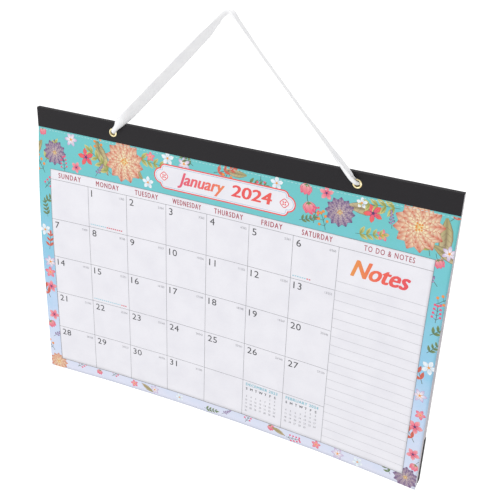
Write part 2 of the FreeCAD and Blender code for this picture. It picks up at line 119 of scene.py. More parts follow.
def node(tree, kind, inputs, **settings):
    made = tree.nodes.new(kind)
    for key, value in settings.items():
        setattr(made, key, value)
    for key, value in inputs.items():
        if isinstance(value, bpy.types.NodeSocket):
            tree.links.new(value, made.inputs[key])
        else:
            made.inputs[key].default_value = value
    return made


def ramp(tree, factor, *stops):
    """A colour ramp with its stops as (place, colour)."""
    made = node(tree, "ShaderNodeValToRGB", {0: factor})
    elements = made.color_ramp.elements
    while len(elements) < len(stops):
        elements.new(0.5)
    for element, (place, colour) in zip(elements, stops):
        element.position = place
        element.color = colour
    return made.outputs[0]


def sum_of(tree, first, second, operation="ADD"):
    return node(tree, "ShaderNodeMath", {0: first, 1: second}, operation=operation).outputs[0]


def bump(tree, shader, height, distance, strength=1.0):
    made = node(tree, "ShaderNodeBump", {"Height": height, "Distance": distance, "Strength": strength})
    tree.links.new(made.outputs[0], shader.inputs["Normal"])


def satin(name, colour, shadow):
    """Satin weave on a UV map in metres: U across the ribbon, V along it."""
    material, shader = make_finish(name, 0.42, Sheen_Weight=0.35, Sheen_Roughness=0.4, Specular_IOR_Level=0.35)
    tree = material.node_tree
    place = node(tree, "ShaderNodeUVMap", {}, uv_map="weave").outputs[0]
    split = node(tree, "ShaderNodeSeparateXYZ", {0: place})
    stretched = node(tree, "ShaderNodeMapping", {0: place, "Scale": (2600, 260, 1)}).outputs[0]
    threads = node(tree, "ShaderNodeTexNoise", {"Vector": stretched, "Scale": 1.0, "Detail": 2.0}).outputs[0]
    picks = node(tree, "ShaderNodeTexWave", {"Vector": place, "Scale": 640.0, "Distortion": 0.6},
                 bands_direction="Y").outputs[1]
    slow = node(tree, "ShaderNodeTexNoise", {"Vector": place, "Scale": 70.0, "Detail": 2.0}).outputs[0]
    tone = sum_of(tree, sum_of(tree, threads, 0.35, "MULTIPLY"), sum_of(tree, slow, 0.65, "MULTIPLY"))
    tree.links.new(ramp(tree, tone, (0.3, shadow), (0.62, colour)), shader.inputs["Base Color"])
    away = node(tree, "ShaderNodeMath", {0: split.outputs[0]}, operation="ABSOLUTE").outputs[0]
    selvedge = node(tree, "ShaderNodeMapRange", {0: away, 1: 0.0054, 2: 0.0058, 3: 0.0, 4: 1.2}).outputs[0]
    relief = sum_of(tree, sum_of(tree, threads, 0.5, "MULTIPLY"), sum_of(tree, picks, 0.3, "MULTIPLY"))
    bump(tree, shader, sum_of(tree, relief, selvedge), 0.00006, 0.8)
    return material


def follow(name, points):
    """The points of a smooth line through a route, in metres."""
    curve = bpy.data.curves.new(name, "CURVE")
    curve.dimensions = "3D"
    spline = curve.splines.new("NURBS")
    spline.points.add(len(points) - 1)
    for point, spot in zip(spline.points, points):
        point.co = [level * mm for level in spot] + [1]
    spline.order_u = 3
    spline.use_endpoint_u = True
    spline.resolution_u = 40
    line = make_object(name, curve)
    mesh = bpy.data.meshes.new_from_object(line.evaluated_get(bpy.context.evaluated_depsgraph_get()))
    spots = [vertex.co.copy() for vertex in mesh.vertices]
    bpy.data.objects.remove(line)
    return [spot for place, spot in enumerate(spots) if place == 0 or (spot - spots[place - 1]).length > 1e-6]


def smooth(stops, place):
    """Eases between (place, values) stops."""
    for (start, first), (end, last) in zip(stops, stops[1:]):
        if place <= end:
            part = max(0, (place - start) / (end - start))
            part = part * part * (3 - 2 * part)
            return [low + (high - low) * part for low, high in zip(first, last)]
    return stops[-1][1]


def ribbon_mesh(name, line, width, thick, stops, first_side):
    """A ribbon along line. A stop is the share of its length, with its turn and its fold across, in degrees."""
    lengths = [0.0]
    for before, after in zip(line, line[1:]):
        lengths.append(lengths[-1] + (after - before).length)
    middle = min(range(len(line)), key=lambda place: abs(lengths[place] - lengths[-1] / 2))
    ways = [(line[min(place + 1, len(line) - 1)] - line[max(place - 1, 0)]).normalized() for place in range(len(line))]
    sides = [None] * len(line)
    sides[middle] = Vector(first_side)
    for step, order in ((1, range(middle + 1, len(line))), (-1, range(middle - 1, -1, -1))):
        for place in order:
            turned = ways[place - step].rotation_difference(ways[place]) @ sides[place - step]
            sides[place] = (turned - ways[place] * turned.dot(ways[place])).normalized()
    across = 14
    spots, weave, faces = [], [], []
    for place, spot in enumerate(line):
        turn, fold = [math.radians(value) for value in smooth(stops, lengths[place] / lengths[-1])]
        side = Matrix.Rotation(turn, 3, ways[place]) @ sides[place]
        normal = ways[place].cross(side)
        bend = max(abs(fold), 0.02)
        radius = width / bend
        rest = radius * (1 - math.sin(bend / 2) / (bend / 2))
        rows = ([], [])
        for column in range(across + 1):
            angle = (column / across - 0.5) * bend
            lean = 1 if fold >= 0 else -1
            out = normal * math.cos(angle) * lean - side * math.sin(angle)
            base = spot + side * radius * math.sin(angle) + normal * lean * (radius * (1 - math.cos(angle)) - rest)
            rows[0].append(base + out * thick / 2)
            rows[1].append(base - out * thick / 2)
        spots += rows[0] + rows[1][::-1]
        flat = [(column / across - 0.5) * width for column in range(across + 1)]
        weave += [(level, lengths[place]) for level in flat + flat[::-1]]
    around = 2 * (across + 1)
    for place in range(len(line) - 1):
        for column in range(around):
            after = (column + 1) % around
            faces.append((place * around + column, place * around + after,
                          (place + 1) * around + after, (place + 1) * around + column))
    faces.append(tuple(range(around))[::-1])
    faces.append(tuple(range((len(line) - 1) * around, len(line) * around)))
    mesh = make_mesh(name, spots, faces)
    layer = mesh.uv_layers.new(name="weave")
    for loop in mesh.loops:
        layer.data[loop.index].uv = weave[loop.vertex_index]
    mesh.polygons.foreach_set("use_smooth", [True] * len(mesh.polygons))
    return mesh, lengths[-1]


ribbon_line = follow("ribbon_line", ribbon_route)
ribbon_stops = [
    (0.00, (-62, 300)), (0.035, (-60, 290)), (0.055, (-54, 150)), (0.085, (-47, 50)), (0.12, (-43, 14)),
    (0.30, (-38, 6)), (0.41, (-28, 10)), (0.45, (-15, 40)), (0.48, (-8, 110)), (0.497, (-8, 160)),
    (0.503, (-10, 160)), (0.53, (-14, 60)), (0.62, (-17, 10)), (0.78, (-17, 14)), (0.88, (-11, 70)),
    (0.93, (-5, 170)), (0.955, (0, 230)), (0.97, (0, 290)), (1.0, (0, 300)),
]
white_satin = satin("white_satin", srgb(254, 254, 255), srgb(246, 246, 249))
mesh, ribbon_length = ribbon_mesh("ribbon_satin", ribbon_line, RIBBON_WIDTH, RIBBON_THICK, ribbon_stops, (0, 1, 0))
ribbon = make_object("ribbon_satin", mesh, white_satin)
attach(ribbon, "root")
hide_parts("ribbon")


# Stopper knots: the ribbon's two ends, each tied in a tight overhand knot behind its eyelet,
# with a short tail cut to a V.

for side, middle in (("left", -125), ("right", 125)):
    turns = 120
    loop = []
    for step in range(turns + 1):
        angle = 2 * math.pi * step / turns
        reach = 2 + math.cos(3 * angle)
        loop.append(Vector((middle + 1.22 * reach * math.cos(2 * angle), 11.8 + 1.35 * math.sin(3 * angle),
                            -126.5 + 1.22 * reach * math.sin(2 * angle))) * mm)
    wound, _ = ribbon_mesh("wound", loop, 3.6 * mm, 0.7 * mm, [(0, (35, 60)), (1, (35, 60))], (0, 1, 0))
    fall = [Vector((middle + 0.6 * math.sin(step / 3), 11.8 + 0.5 * math.sin(step / 2.2), -127.5 - step)) * mm
            for step in range(0, 23)]
    tail, _ = ribbon_mesh("tail", fall, 8 * mm, 0.5 * mm,
                          [(0, (0, 150)), (0.25, (0, 60)), (1, (12, 16))], (1, 0, 0))
    for vertex in tail.vertices:
        low = max(0.0, (-0.1365 - vertex.co.z) / 0.013)
        vertex.co.z -= 1.0 * mm * low * abs(vertex.co.x - middle * mm) / (4 * mm)
    both = bmesh.new()
    both.from_mesh(wound)
    both.from_mesh(tail)
    bmesh.ops.remove_doubles(both, verts=both.verts, dist=1e-6)
    bmesh.ops.recalc_face_normals(both, faces=both.faces)
    mesh = bpy.data.meshes.new(f"ribbon_end_{side}")
    both.to_mesh(mesh)
    both.free()
    knot = make_object(f"ribbon_end_{side}", mesh, white_satin)
    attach(knot, "root")
    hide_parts(f"ribbon_knot_{side}")


# Front sheet: one leaf of white uncoated paper, held flat by the strip. Below it the two sides
# curl towards the viewer, and the paper has a faint ripple.

HALF_SHEET = 216 * mm
SHEET_TOP = -116.45 * mm
SHEET_FOOT = -421.45 * mm
SHEET_FRONT = 4.15 * mm
STRIP_FOOT = -136 * mm
CURL_DEPTH = 9.2 * mm
CURL_DROP = 145 * mm
RIPPLE = 0.12 * mm


def sheet_level(x, z):
    """How far back the sheet's front lies at one place."""
    down = min(max((STRIP_FOOT - z) / CURL_DROP, 0), 1)
    curl = CURL_DEPTH * (1 - (1 - down) ** 2) * (x / HALF_SHEET) ** 2
    wave = math.sin(2 * math.pi * (x + 0.12 * z) / 0.083) + 0.5 * math.sin(2 * math.pi * (x - 0.3 * z) / 0.051)
    return SHEET_FRONT - curl - RIPPLE * down * (1.5 + wave)


def lay_on_sheet(mesh, lift):
    """Bends a flat print, made at depth 0, on to the sheet."""
    for vertex in mesh.vertices:
        vertex.co.y += sheet_level(vertex.co.x, vertex.co.z) - lift
    mesh.update()


def panel(name, columns, rows, holes=()):
    """A flat upright panel with its faces to the front, without the squares in holes."""
    spots = [(x, 0, z) for z in rows for x in columns]
    faces = []
    for row in range(len(rows) - 1):
        for column in range(len(columns) - 1):
            x = (columns[column] + columns[column + 1]) / 2
            z = (rows[row] + rows[row + 1]) / 2
            if any(abs(x - hole_x) < half and abs(z - hole_z) < half for hole_x, hole_z, half in holes):
                continue
            start = row * len(columns) + column
            faces.append((start, start + 1, start + len(columns) + 1, start + len(columns)))
    mesh = make_mesh(name, spots, faces)
    mesh.polygons.foreach_set("use_smooth", [True] * len(mesh.polygons))
    return mesh


def face_front(flat):
    """Turns every face of a flat print to the viewer's side."""
    flat.normal_update()
    for face in flat.faces:
        if face.normal.y > 0:
            face.normal_flip()


def steps(low, high, size):
    count = max(1, round((high - low) / size))
    return [low + (high - low) * step / count for step in range(count + 1)]


def thicken(thing, thickness):
    modifier = thing.modifiers.new("thickness", "SOLIDIFY")
    modifier.thickness = thickness
    modifier.offset = -1


def paper(name, colour, shadow, roughness=0.75):
    """Uncoated paper: short fibres in its relief, and a faint mottle in its colour."""
    material, shader = make_finish(name, roughness, Specular_IOR_Level=0.25)
    tree = material.node_tree
    place = node(tree, "ShaderNodeTexCoord", {}).outputs["Object"]
    fibres = node(tree, "ShaderNodeTexNoise", {"Vector": place, "Scale": 1500.0, "Detail": 4.0}).outputs[0]
    mottle = node(tree, "ShaderNodeTexNoise", {"Vector": place, "Scale": 45.0, "Detail": 3.0}).outputs[0]
    tone = sum_of(tree, sum_of(tree, fibres, 0.3, "MULTIPLY"), sum_of(tree, mottle, 0.7, "MULTIPLY"))
    tree.links.new(ramp(tree, tone, (0.3, shadow), (0.6, colour)), shader.inputs["Base Color"])
    bump(tree, shader, fibres, 0.00004, 0.35)
    return material


eyelet_squares = [(side * 125 * mm, -126.5 * mm, 3.3 * mm) for side in (-1, 1)]
columns = sorted(steps(-HALF_SHEET, HALF_SHEET, 3 * mm) + [side * 125 * mm + turn * 3.3 * mm
                                                       for side in (-1, 1) for turn in (-1, 1)])
rows = sorted(steps(SHEET_FOOT, STRIP_FOOT, 4 * mm) + [SHEET_TOP, -129.8 * mm, -123.2 * mm])
page_white = paper("page_white", srgb(237, 236, 242), srgb(230, 229, 236))
mesh = panel("sheet_leaf", columns, rows, eyelet_squares)
lay_on_sheet(mesh, 0)
sheet_leaf = make_object("sheet_leaf", mesh, page_white)
thicken(sheet_leaf, 0.2 * mm)
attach(sheet_leaf, "root")
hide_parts("front_sheet")


# Border print: a wash that runs from teal at the head to pale periwinkle at the foot, offset-printed
# on the front sheet under the strewn flowers.

mesh = panel("border_wash", steps(-HALF_SHEET, HALF_SHEET, 3 * mm), steps(SHEET_FOOT, STRIP_FOOT + 1.5 * mm, 4 * mm))
lay_on_sheet(mesh, 0.03 * mm)
wash, shader = make_finish("wash", 0.6, Specular_IOR_Level=0.3)
tree = wash.node_tree
place = node(tree, "ShaderNodeTexCoord", {}).outputs["Object"]
height = node(tree, "ShaderNodeSeparateXYZ", {0: place}).outputs[2]
cloud = node(tree, "ShaderNodeTexNoise", {"Vector": place, "Scale": 60.0, "Detail": 4.0}).outputs[0]
fleck = node(tree, "ShaderNodeTexNoise", {"Vector": place, "Scale": 900.0, "Detail": 2.0}).outputs[0]
level = node(tree, "ShaderNodeMapRange", {0: height, 1: -0.42145, 2: -0.136, 3: 0.0, 4: 1.0}).outputs[0]
shift = node(tree, "ShaderNodeMapRange", {0: cloud, 1: 0.3, 2: 0.7, 3: -0.05, 4: 0.05}).outputs[0]
fine = node(tree, "ShaderNodeMapRange", {0: fleck, 1: 0.3, 2: 0.7, 3: -0.025, 4: 0.025}).outputs[0]
tone = sum_of(tree, sum_of(tree, level, shift), fine)
tree.links.new(ramp(tree, tone, (0.0, srgb(222, 225, 242)), (0.28, srgb(196, 216, 242)), (0.5, srgb(152, 203, 232)),
                    (0.74, srgb(120, 200, 212)), (0.92, srgb(113, 198, 200))), shader.inputs["Base Color"])
bump(tree, shader, fleck, 0.00003, 0.3)
border_wash = make_object("border_wash", mesh, wash)
thicken(border_wash, 0.02 * mm)
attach(border_wash, "root")
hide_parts("border_print")


# Border flowers: blossoms, bells, sprigs and berries of a plain cottage-garden kind, painted flat
# and strewn along the border. Each shape is drawn once, and a node tree sets out its copies.

def painted(name):
    """Water-colour ink on the "ink" attribute, with streaks that run along each petal."""
    material, shader = make_finish(name, 0.6, Specular_IOR_Level=0.3)
    tree = material.node_tree
    colour = node(tree, "ShaderNodeAttribute", {}, attribute_name="ink").outputs["Color"]
    along = node(tree, "ShaderNodeUVMap", {}, uv_map="petal").outputs[0]
    stretched = node(tree, "ShaderNodeMapping", {0: along, "Scale": (9, 1.6, 1)}).outputs[0]
    streak = node(tree, "ShaderNodeTexNoise", {"Vector": stretched, "Scale": 1.0, "Detail": 3.0}).outputs[0]
    place = node(tree, "ShaderNodeTexCoord", {}).outputs["Object"]
    fleck = node(tree, "ShaderNodeTexNoise", {"Vector": place, "Scale": 900.0, "Detail": 2.0}).outputs[0]
    value = node(tree, "ShaderNodeMapRange", {0: streak, 1: 0.3, 2: 0.7, 3: 0.8, 4: 1.12}).outputs[0]
    toned = node(tree, "ShaderNodeHueSaturation", {"Value": value, "Color": colour}).outputs[0]
    tree.links.new(toned, shader.inputs["Base Color"])
    bump(tree, shader, fleck, 0.00003, 0.3)
    return material


class Drawing:
    """One flat motif: its spots, faces, colours and petal places."""

    def __init__(self):
        self.spots, self.faces, self.colours, self.petals, self.count = [], [], [], [], 0

    def grid(self, rows, colours):
        """Adds rows of spots, each row with one colour for every spot."""
        start = len(self.spots)
        wide = len(rows[0])
        self.count += 1
        for index, (row, shades) in enumerate(zip(rows, colours)):
            for place, (spot, shade) in enumerate(zip(row, shades)):
                self.spots.append((spot[0] * mm, -0.0008 * mm * self.count, spot[1] * mm))
                self.colours.append(shade)
                self.petals.append((place / (wide - 1) + 3.7 * self.count, index / (len(rows) - 1)))
        for index in range(len(rows) - 1):
            for place in range(wide - 1):
                corner = start + index * wide + place
                self.faces.append((corner, corner + 1, corner + wide + 1, corner + wide))

    def petal(self, x, z, turn, length, width, base, tip, full=1.3, blunt=0.5, start=0.0, vein=None, edge=None,
              lean=0.0, dip=0.0, fine=True):
        """A petal or leaf from (x, z) towards turn degrees, anticlockwise from upright."""
        rows, colours = [], []
        angle = math.radians(turn)
        edge = edge or [level * 0.62 for level in tip[:3]] + [1]
        columns = (-1, -0.8, -0.4, 0, 0.4, 0.8, 1) if fine else (-1, -0.7, 0, 0.7, 1)
        parts = (0, 0.14, 0.32, 0.52, 0.7, 0.84, 0.94, 1) if fine else (0, 0.25, 0.55, 0.8, 1)
        for part in parts:
            half = width / 2 * max(math.sin(math.pi * min(part ** full, 0.97)), 0.1) ** blunt
            middle = start + part * (length - start)
            row, shades = [], []
            for place in columns:
                across = place * half + lean * part * part * length
                ahead = middle - 0.16 * width * place * place * part
                row.append((x + across * math.cos(angle) - ahead * math.sin(angle),
                            z + across * math.sin(angle) + ahead * math.cos(angle)))
                mixed = [low + (high - low) * part ** 1.2 for low, high in zip(base, tip)]
                dipped = max(0, part - 0.6) * dip
                mixed = [low + (high - low) * dipped for low, high in zip(mixed, edge)]
                if vein and place == 0:
                    mixed = [0.4 * low + 0.6 * high for low, high in zip(mixed, vein)]
                if abs(place) == 1 or part == 1:
                    mixed = edge
                shades.append(mixed)
            rows.append(row)
            colours.append(shades)
        self.grid(rows, colours)

    def stem(self, points, width, colour):
        rows = []
        for index, point in enumerate(points):
            ahead = points[min(index + 1, len(points) - 1)]
            behind = points[max(index - 1, 0)]
            way = Vector((ahead[0] - behind[0], ahead[1] - behind[1])).normalized() * width / 2
            rows.append([(point[0] + way.y, point[1] - way.x), (point[0] - way.y, point[1] + way.x)])
        self.grid([row[::-1] for row in rows], [[colour, colour] for _ in rows])

    def dot(self, x, z, radius, middle, rim):
        rows = [[(x + radius * part * math.sin(step * math.pi / 5), z + radius * part * math.cos(step * math.pi / 5))
                 for step in range(11)] for part in (0.02, 0.6, 1.0)]
        self.grid(rows, [[middle] * 11, [middle] * 11, [rim] * 11])

    def finish(self, name):
        mesh = make_mesh(name, self.spots, self.faces)
        shades = mesh.color_attributes.new("ink", "FLOAT_COLOR", "POINT")
        for index, shade in enumerate(self.colours):
            shades.data[index].color = shade
        layer = mesh.uv_layers.new(name="petal")
        for loop in mesh.loops:
            layer.data[loop.index].uv = self.petals[loop.vertex_index]
        return mesh


CREAM = srgb(253, 248, 226)
PALE_YELLOW = srgb(236, 226, 150)
RUST = srgb(206, 92, 66)
CORAL = srgb(240, 106, 84)
ROSE = srgb(236, 96, 130)
BLUSH = srgb(248, 176, 178)
ORANGE = srgb(240, 160, 70)
PLUM = srgb(92, 66, 112)
MAUVE = srgb(196, 170, 214)
SKY = srgb(206, 232, 250)
OLIVE = srgb(150, 160, 76)
GREEN = srgb(96, 134, 104)
STALK = srgb(88, 104, 96)
KHAKI = srgb(172, 166, 116)
TAN = srgb(206, 186, 152)
BROWN = srgb(120, 98, 78)
WHITE = srgb(250, 250, 250)


def blossom(size, base, tip, heart, petals=5, full=1.5, wide=0.62):
    drawing = Drawing()
    for index in range(petals):
        drawing.petal(0, 0, 360 / petals * index, size / 2, size * wide / 2, base, tip, full)
    for index in range(petals):
        angle = 1.26 * index + 0.6
        drawing.stem([(0, 0), (size * 0.19 * math.sin(angle), size * 0.19 * math.cos(angle))], size * 0.025, heart)
    drawing.dot(0, 0, size * 0.08, heart, heart)
    return drawing


def double_bloom(size, body, tip, line, heart):
    """A full flower in five rings of slim petals, each pale at its foot and drawn with a fine edge."""
    drawing = Drawing()
    for ring, (reach, number, wide) in enumerate(((1.0, 12, 0.25), (0.84, 11, 0.22), (0.66, 10, 0.19), (0.49, 8, 0.16),
                                                  (0.32, 6, 0.13))):
        for index in range(number):
            drawing.petal(0, 0, 360 / number * index + 17 * ring, size / 2 * reach, size * wide, body, tip, 1.7, 0.5,
                          vein=line, edge=line, dip=2.2)
    for index in range(9):
        angle = 0.7 * index
        reach = size * (0.05 + 0.03 * (index % 2))
        drawing.dot(reach * math.sin(angle), reach * math.cos(angle), size * 0.02, heart, line)
    return drawing


def sprig(length, leaf, leaf_tip, pairs, leaf_size, bend=0.18, berry=None):
    drawing = Drawing()
    stalk = [(bend * length * math.sin(step / 5 * 1.4), length * step / 5) for step in range(6)]
    drawing.stem(stalk, 0.5, STALK)
    for index in range(pairs):
        part = (index + 0.7) / pairs
        x, z = bend * length * math.sin(part * 1.4), length * part
        for side in (-1, 1):
            size = leaf_size * (1.05 - 0.4 * part)
            if berry:
                end = (x + side * size * 0.8, z + size * 0.6)
                drawing.stem([(x, z), end], 0.35, STALK)
                drawing.dot(end[0], end[1], leaf_size * 0.26, berry, leaf_tip)
            else:
                drawing.petal(x, z, -side * 46, size, size * 0.44, leaf, leaf_tip, 0.95, 0.75, vein=STALK,
                              fine=leaf_size > 8)
    if berry:
        drawing.dot(stalk[-1][0], stalk[-1][1], leaf_size * 0.28, berry, leaf_tip)
    else:
        drawing.petal(stalk[-1][0], stalk[-1][1], -10, leaf_size * 0.8, leaf_size * 0.34, leaf, leaf_tip, 0.95, 0.75,
                      vein=STALK, fine=leaf_size > 8)
    return drawing


def broad_leaf(length, width):
    drawing = Drawing()
    drawing.petal(0, 0, 0, length, width, KHAKI, TAN, 1.0, 0.75, vein=BROWN, edge=BROWN, lean=0.12)
    for index in range(5):
        foot = length * (0.2 + 0.13 * index)
        bend = 0.12 * (foot / length) ** 2 * length
        for side in (-1, 1):
            drawing.stem([(bend, foot), (bend + side * width * 0.32, foot + length * 0.1)], 0.22, BROWN)
    return drawing


def bell(size, base, tip):
    drawing = Drawing()
    drawing.stem([(0, size * 0.9), (-size * 0.04, size * 0.62), (0, size * 0.42)], 0.4, STALK)
    for turn in (158, 202, 180):
        drawing.petal(0, size * 0.5, turn, size * 0.62, size * 0.5, base, tip, 1.1)
    for turn in (130, 180, 230):
        drawing.petal(0, size * 0.5, turn, size * 0.2, size * 0.09, GREEN, OLIVE, 0.9, 0.9, fine=False)
    return drawing


def spire(length, base, tip):
    drawing = Drawing()
    drawing.stem([(0, 0), (0.5, length * 0.5), (0, length)], 0.4, STALK)
    for index in range(9):
        part = index / 8
        side = 1 if index % 2 else -1
        drawing.petal(0.4, length * (0.25 + 0.7 * part), -side * 55 * (1 - 0.7 * part), length * (0.24 - 0.12 * part),
                      length * 0.12, base, tip, 1.2, 0.7, fine=False)
    return drawing


motifs = [
    blossom(14, ROSE, BLUSH, PLUM), blossom(11.5, BLUSH, ROSE, ORANGE), bell(13, BLUSH, ROSE),
    sprig(18, CORAL, CORAL, 3, 7.5), sprig(17, GREEN, OLIVE, 4, 6.2), sprig(16, ORANGE, CORAL, 3, 5.4, berry=ORANGE),
    spire(16, MAUVE, PLUM), blossom(12, SKY, WHITE, ORANGE), sprig(15, ROSE, ROSE, 4, 4.2, 0.1, berry=ROSE),
    blossom(14, WHITE, MAUVE, ORANGE, 6, 1.3, 0.5), double_bloom(38, PALE_YELLOW, CREAM, RUST, ORANGE),
    double_bloom(27, PALE_YELLOW, MAUVE, PLUM, ORANGE), sprig(34, OLIVE, PALE_YELLOW, 4, 13.0),
    blossom(19, ROSE, CORAL, PLUM, 5, 1.4, 0.5), broad_leaf(40, 13),
]
KINDS = ["rose_blossom", "blush_blossom", "bell", "coral_sprig", "green_sprig", "orange_berries", "spire",
         "sky_blossom", "rose_berries", "mauve_star", "large_bloom", "plum_bloom", "large_sprig", "coral_blossom",
         "broad_leaf"]
library = bpy.data.collections.new("motifs")
for index, (kind, drawing) in enumerate(zip(KINDS, motifs)):
    library.objects.link(bpy.data.objects.new(f"{index:02d}_{kind}", drawing.finish(kind)))

# Where the motifs stand, in mm: (kind, x, z, turn, size)
strewn = []
SIDE_MIDDLE = 208.6
SIDE_PITCH = 16.6
FOOT_MIDDLE = -415.4
FOOT_PITCH = 26.5
SIDE_ORDER = ["orange_berries", "rose_blossom", "green_sprig", "bell", "mauve_star", "rose_berries", "coral_sprig",
              "sky_blossom", "spire", "blush_blossom", "green_sprig", "rose_blossom", "coral_sprig"]
dice = random.Random(11)
for side in (-1, 1):
    for index in range(14):
        kind = SIDE_ORDER[(index * 5 + (3 if side > 0 else 0)) % len(SIDE_ORDER)]
        x = side * (SIDE_MIDDLE + dice.uniform(-2.4, 2.4))
        z = -184 - index * SIDE_PITCH + dice.uniform(-3, 3)
        strewn.append((kind, x, z, dice.uniform(-50, 50), dice.uniform(0.95, 1.3)))
FOOT_ORDER = ["rose_berries", "blush_blossom", "green_sprig", "bell", "mauve_star", "spire", "rose_berries",
              "sky_blossom"]
for index in range(15):
    x = -184 + index * FOOT_PITCH + dice.uniform(-6, 6)
    z = FOOT_MIDDLE + dice.uniform(-2.2, 2)
    kind = FOOT_ORDER[index * 3 % len(FOOT_ORDER)]
    strewn.append((kind, x, z, dice.uniform(-80, 80), dice.uniform(0.75, 1.0)))
strewn += [
    ("broad_leaf", -146, -139, -150, 0.9), ("broad_leaf", -92, -168, 50, 0.75), ("broad_leaf", 152, -146, 100, 0.9),
    ("broad_leaf", 205, -140, 190, 0.95), ("broad_leaf", 197, -166, -110, 0.7), ("broad_leaf", -212, -150, 150, 0.7),
    ("broad_leaf", 20, -141, 95, 0.6), ("large_sprig", -128, -170, 62, 0.9), ("large_sprig", -98, -146, -88, 0.8),
    ("large_bloom", -113, -154, 20, 1.15),
    ("plum_bloom", -196, -160, 0, 1.0), ("large_sprig", -208, -172, -20, 0.7), ("mauve_star", -176, -143, 30, 1.1),
    ("coral_blossom", -158, -158, 10, 1.0), ("rose_blossom", -170, -171, 50, 0.9),
    ("orange_berries", -142, -150, 20, 1.0),
    ("spire", -147, -176, -30, 1.0), ("sky_blossom", -86, -170, 0, 1.1), ("blush_blossom", -83, -143, 0, 0.9),
    ("rose_berries", -184, -178, 12, 1.0), ("bell", -210, -143, 10, 0.9), ("sky_blossom", -64, -141, 0, 1.2),
    ("mauve_star", -46, -143, 0, 1.0), ("green_sprig", -36, -143, 70, 1.1), ("coral_sprig", -14, -145, -60, 1.1),
    ("orange_berries", 2, -139, 170, 1.0), ("green_sprig", 20, -147, -80, 1.1), ("rose_berries", 34, -139, 190, 1.1),
    ("sky_blossom", 50, -142, 0, 1.1), ("bell", 78, -145, -8, 1.3), ("bell", 84, -162, 14, 1.4),
    ("rose_berries", 88, -172, 0, 1.0), ("large_sprig", 196, -176, 30, 0.9), ("large_sprig", 165, -141, 105, 0.85),
    ("large_bloom", 183, -153, 70, 1.2), ("plum_bloom", 112, -156, 30, 1.05), ("large_sprig", 128, -172, -70, 0.7),
    ("coral_blossom", 142, -150, 30, 0.95), ("blush_blossom", 153, -168, 0, 1.0), ("rose_blossom", 98, -141, 0, 1.0),
    ("spire", 160, -160, 10, 1.0), ("coral_sprig", 208, -142, -30, 1.0), ("mauve_star", 212, -170, 0, 1.0),
    ("sky_blossom", 131, -143, 0, 0.9), ("orange_berries", 100, -176, 30, 1.0), ("green_sprig", 74, -172, -60, 0.9),
    ("large_bloom", -206, -414, 0, 0.6), ("broad_leaf", 60, -412, -100, 0.4), ("broad_leaf", -84, -418, 70, 0.4),
    ("plum_bloom", 205, -411, 0, 0.95),
]
dots = bpy.data.meshes.new("motif_places")
dots.from_pydata([(x * mm, 0, z * mm) for _, x, z, _, _ in strewn], [], [])
for label, kind_of, values in (("kind", "INT", [KINDS.index(spot[0]) for spot in strewn]),
                               ("turn", "FLOAT", [math.radians(-spot[3]) for spot in strewn]),
                               ("size", "FLOAT", [spot[4] for spot in strewn])):
    attribute = dots.attributes.new(label, kind_of, "POINT")
    attribute.data.foreach_set("value", values)


def new_tree(name, *inputs):
    """A geometry tree with named inputs, its input node, and the inputs' identifiers."""
    tree = bpy.data.node_groups.new(name, "GeometryNodeTree")
    keys = {}
    for label, kind in inputs:
        keys[label] = tree.interface.new_socket(label, in_out="INPUT", socket_type=kind).identifier
    tree.interface.new_socket("Geometry", in_out="OUTPUT", socket_type="NodeSocketGeometry")
    return tree, node(tree, "NodeGroupInput", {}).outputs, keys


def close_tree(tree, geometry, material):
    """Ends a tree in real geometry with its material."""
    real = node(tree, "GeometryNodeRealizeInstances", {0: geometry}).outputs[0]
    dressed = node(tree, "GeometryNodeSetMaterial", {0: real, "Material": material}).outputs[0]
    node(tree, "NodeGroupOutput", {0: dressed})


def bake(name, mesh, tree, keys, **values):
    """Runs a tree once and returns the plain mesh that it makes."""
    thing = make_object(name, mesh)
    modifier = thing.modifiers.new("tree", "NODES")
    modifier.node_group = tree
    for label, value in values.items():
        modifier[keys[label]] = value
    made = bpy.data.meshes.new_from_object(thing.evaluated_get(bpy.context.evaluated_depsgraph_get()))
    bpy.data.objects.remove(thing)
    return made


tree, given, keys = new_tree("strew", ("Places", "NodeSocketGeometry"), ("Motifs", "NodeSocketCollection"),
                             ("Layer", "NodeSocketFloat"), ("Material", "NodeSocketMaterial"))
kinds = node(tree, "GeometryNodeCollectionInfo", {0: given["Motifs"], 1: True, 2: True}).outputs[0]
kind = node(tree, "GeometryNodeInputNamedAttribute", {0: "kind"}, data_type="INT").outputs[0]
turn = node(tree, "GeometryNodeInputNamedAttribute", {0: "turn"}, data_type="FLOAT").outputs[0]
size = node(tree, "GeometryNodeInputNamedAttribute", {0: "size"}, data_type="FLOAT").outputs[0]
order = node(tree, "GeometryNodeInputIndex", {}).outputs[0]
rise = sum_of(tree, sum_of(tree, order, given["Layer"], "MULTIPLY"), -1.0, "MULTIPLY")
moved = node(tree, "GeometryNodeSetPosition", {
    0: given["Places"], "Offset": node(tree, "ShaderNodeCombineXYZ", {1: rise}).outputs[0]}).outputs[0]
copies = node(tree, "GeometryNodeInstanceOnPoints", {
    "Points": moved, "Instance": kinds, "Pick Instance": True, "Instance Index": kind,
    "Rotation": node(tree, "ShaderNodeCombineXYZ", {1: turn}).outputs[0], "Scale": size}).outputs[0]
close_tree(tree, copies, given["Material"])
flower_ink = painted("flower_ink")
mesh = bake("strewn_flowers", dots, tree, keys, Motifs=library, Layer=0.0004 * mm, Material=flower_ink)
for item in list(library.objects):
    bpy.data.objects.remove(item)
bpy.data.collections.remove(library)
trimmed = bmesh.new()
trimmed.from_mesh(mesh)
